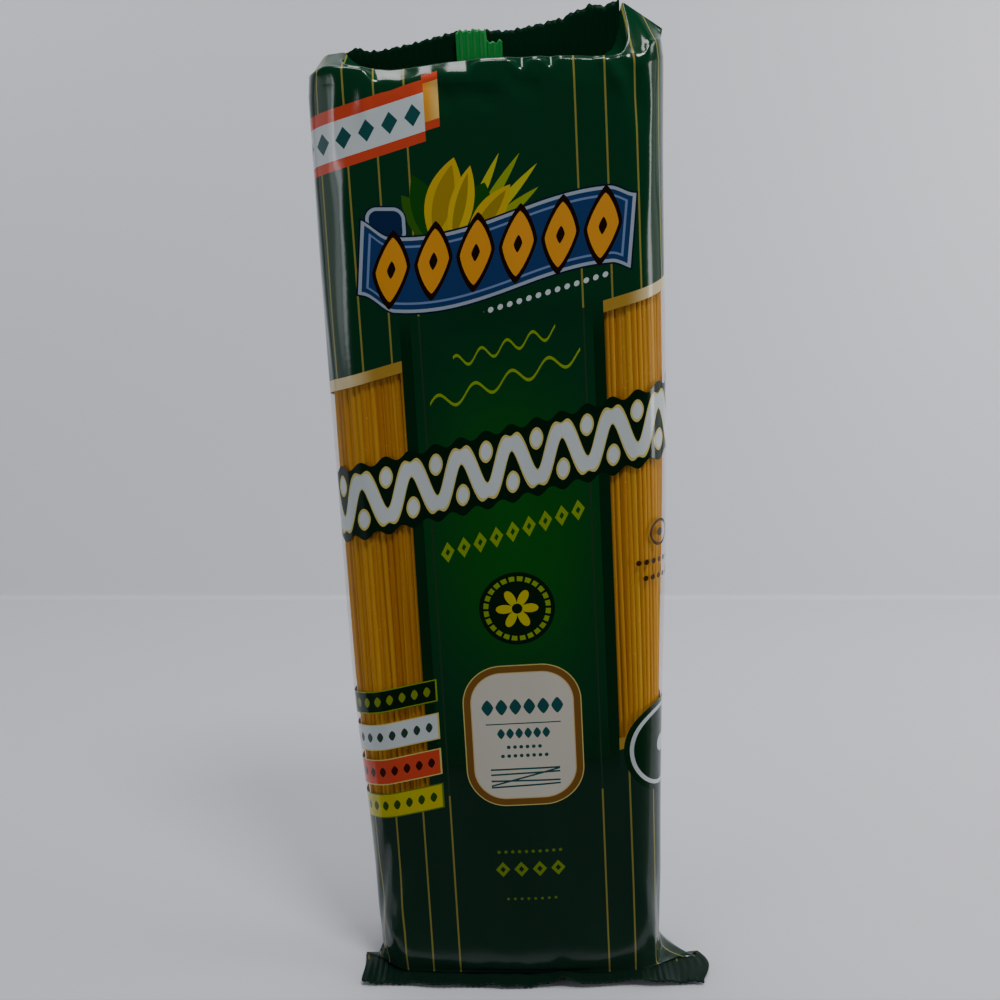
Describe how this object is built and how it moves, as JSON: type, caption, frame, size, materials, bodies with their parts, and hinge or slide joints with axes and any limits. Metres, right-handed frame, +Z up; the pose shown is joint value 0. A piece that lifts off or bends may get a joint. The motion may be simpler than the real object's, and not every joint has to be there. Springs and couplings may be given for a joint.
{
  "type": "pasta packet",
  "caption": "Upright printed film packet of spaghetti with clear side windows, a crimped fin standing on top and a foot seal folded forward on the floor.",
  "frame": {"origin": "on the floor, at the centre of the bottom of the packet's box", "axes": "+Z up, -Y out of the printed front, +X to the right of someone who faces the front"},
  "size_m": [0.1132, 0.0422, 0.2805],
  "materials": {
    "printed_film": "glossy printed film",
    "clear_film": "clear glossy film",
    "dry_pasta": "smooth dry pasta"
  },
  "bodies": {
    "root": {"film_wrapper": "printed_film", "spaghetti": "dry_pasta"}
  },
  "joints": []
}
